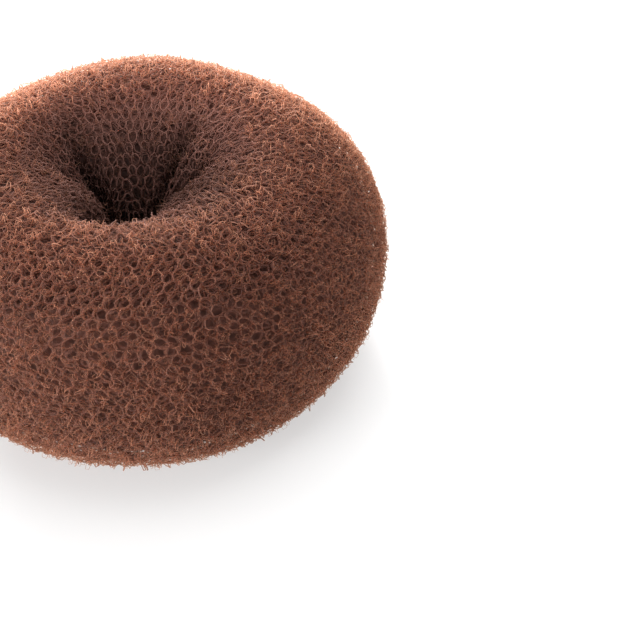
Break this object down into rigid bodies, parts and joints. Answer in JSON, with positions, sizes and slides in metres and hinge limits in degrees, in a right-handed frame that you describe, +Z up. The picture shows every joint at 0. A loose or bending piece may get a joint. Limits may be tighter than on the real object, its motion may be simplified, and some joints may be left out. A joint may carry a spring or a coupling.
{
  "type": "hair donut bun maker",
  "caption": "Soft brown ring of rolled knitted net with a puckered hole, worn round a ponytail to shape a hair bun.",
  "frame": {"origin": "middle of the ring's outline, on the surface it rests on", "axes": "+Z up along the hole, -Y towards the front of the picture, +X to its right"},
  "size_m": [0.1102, 0.1097, 0.0556],
  "materials": {
    "net": "matte brown knitted nylon net"
  },
  "bodies": {
    "root": {"rolled_net": "net"}
  },
  "joints": []
}
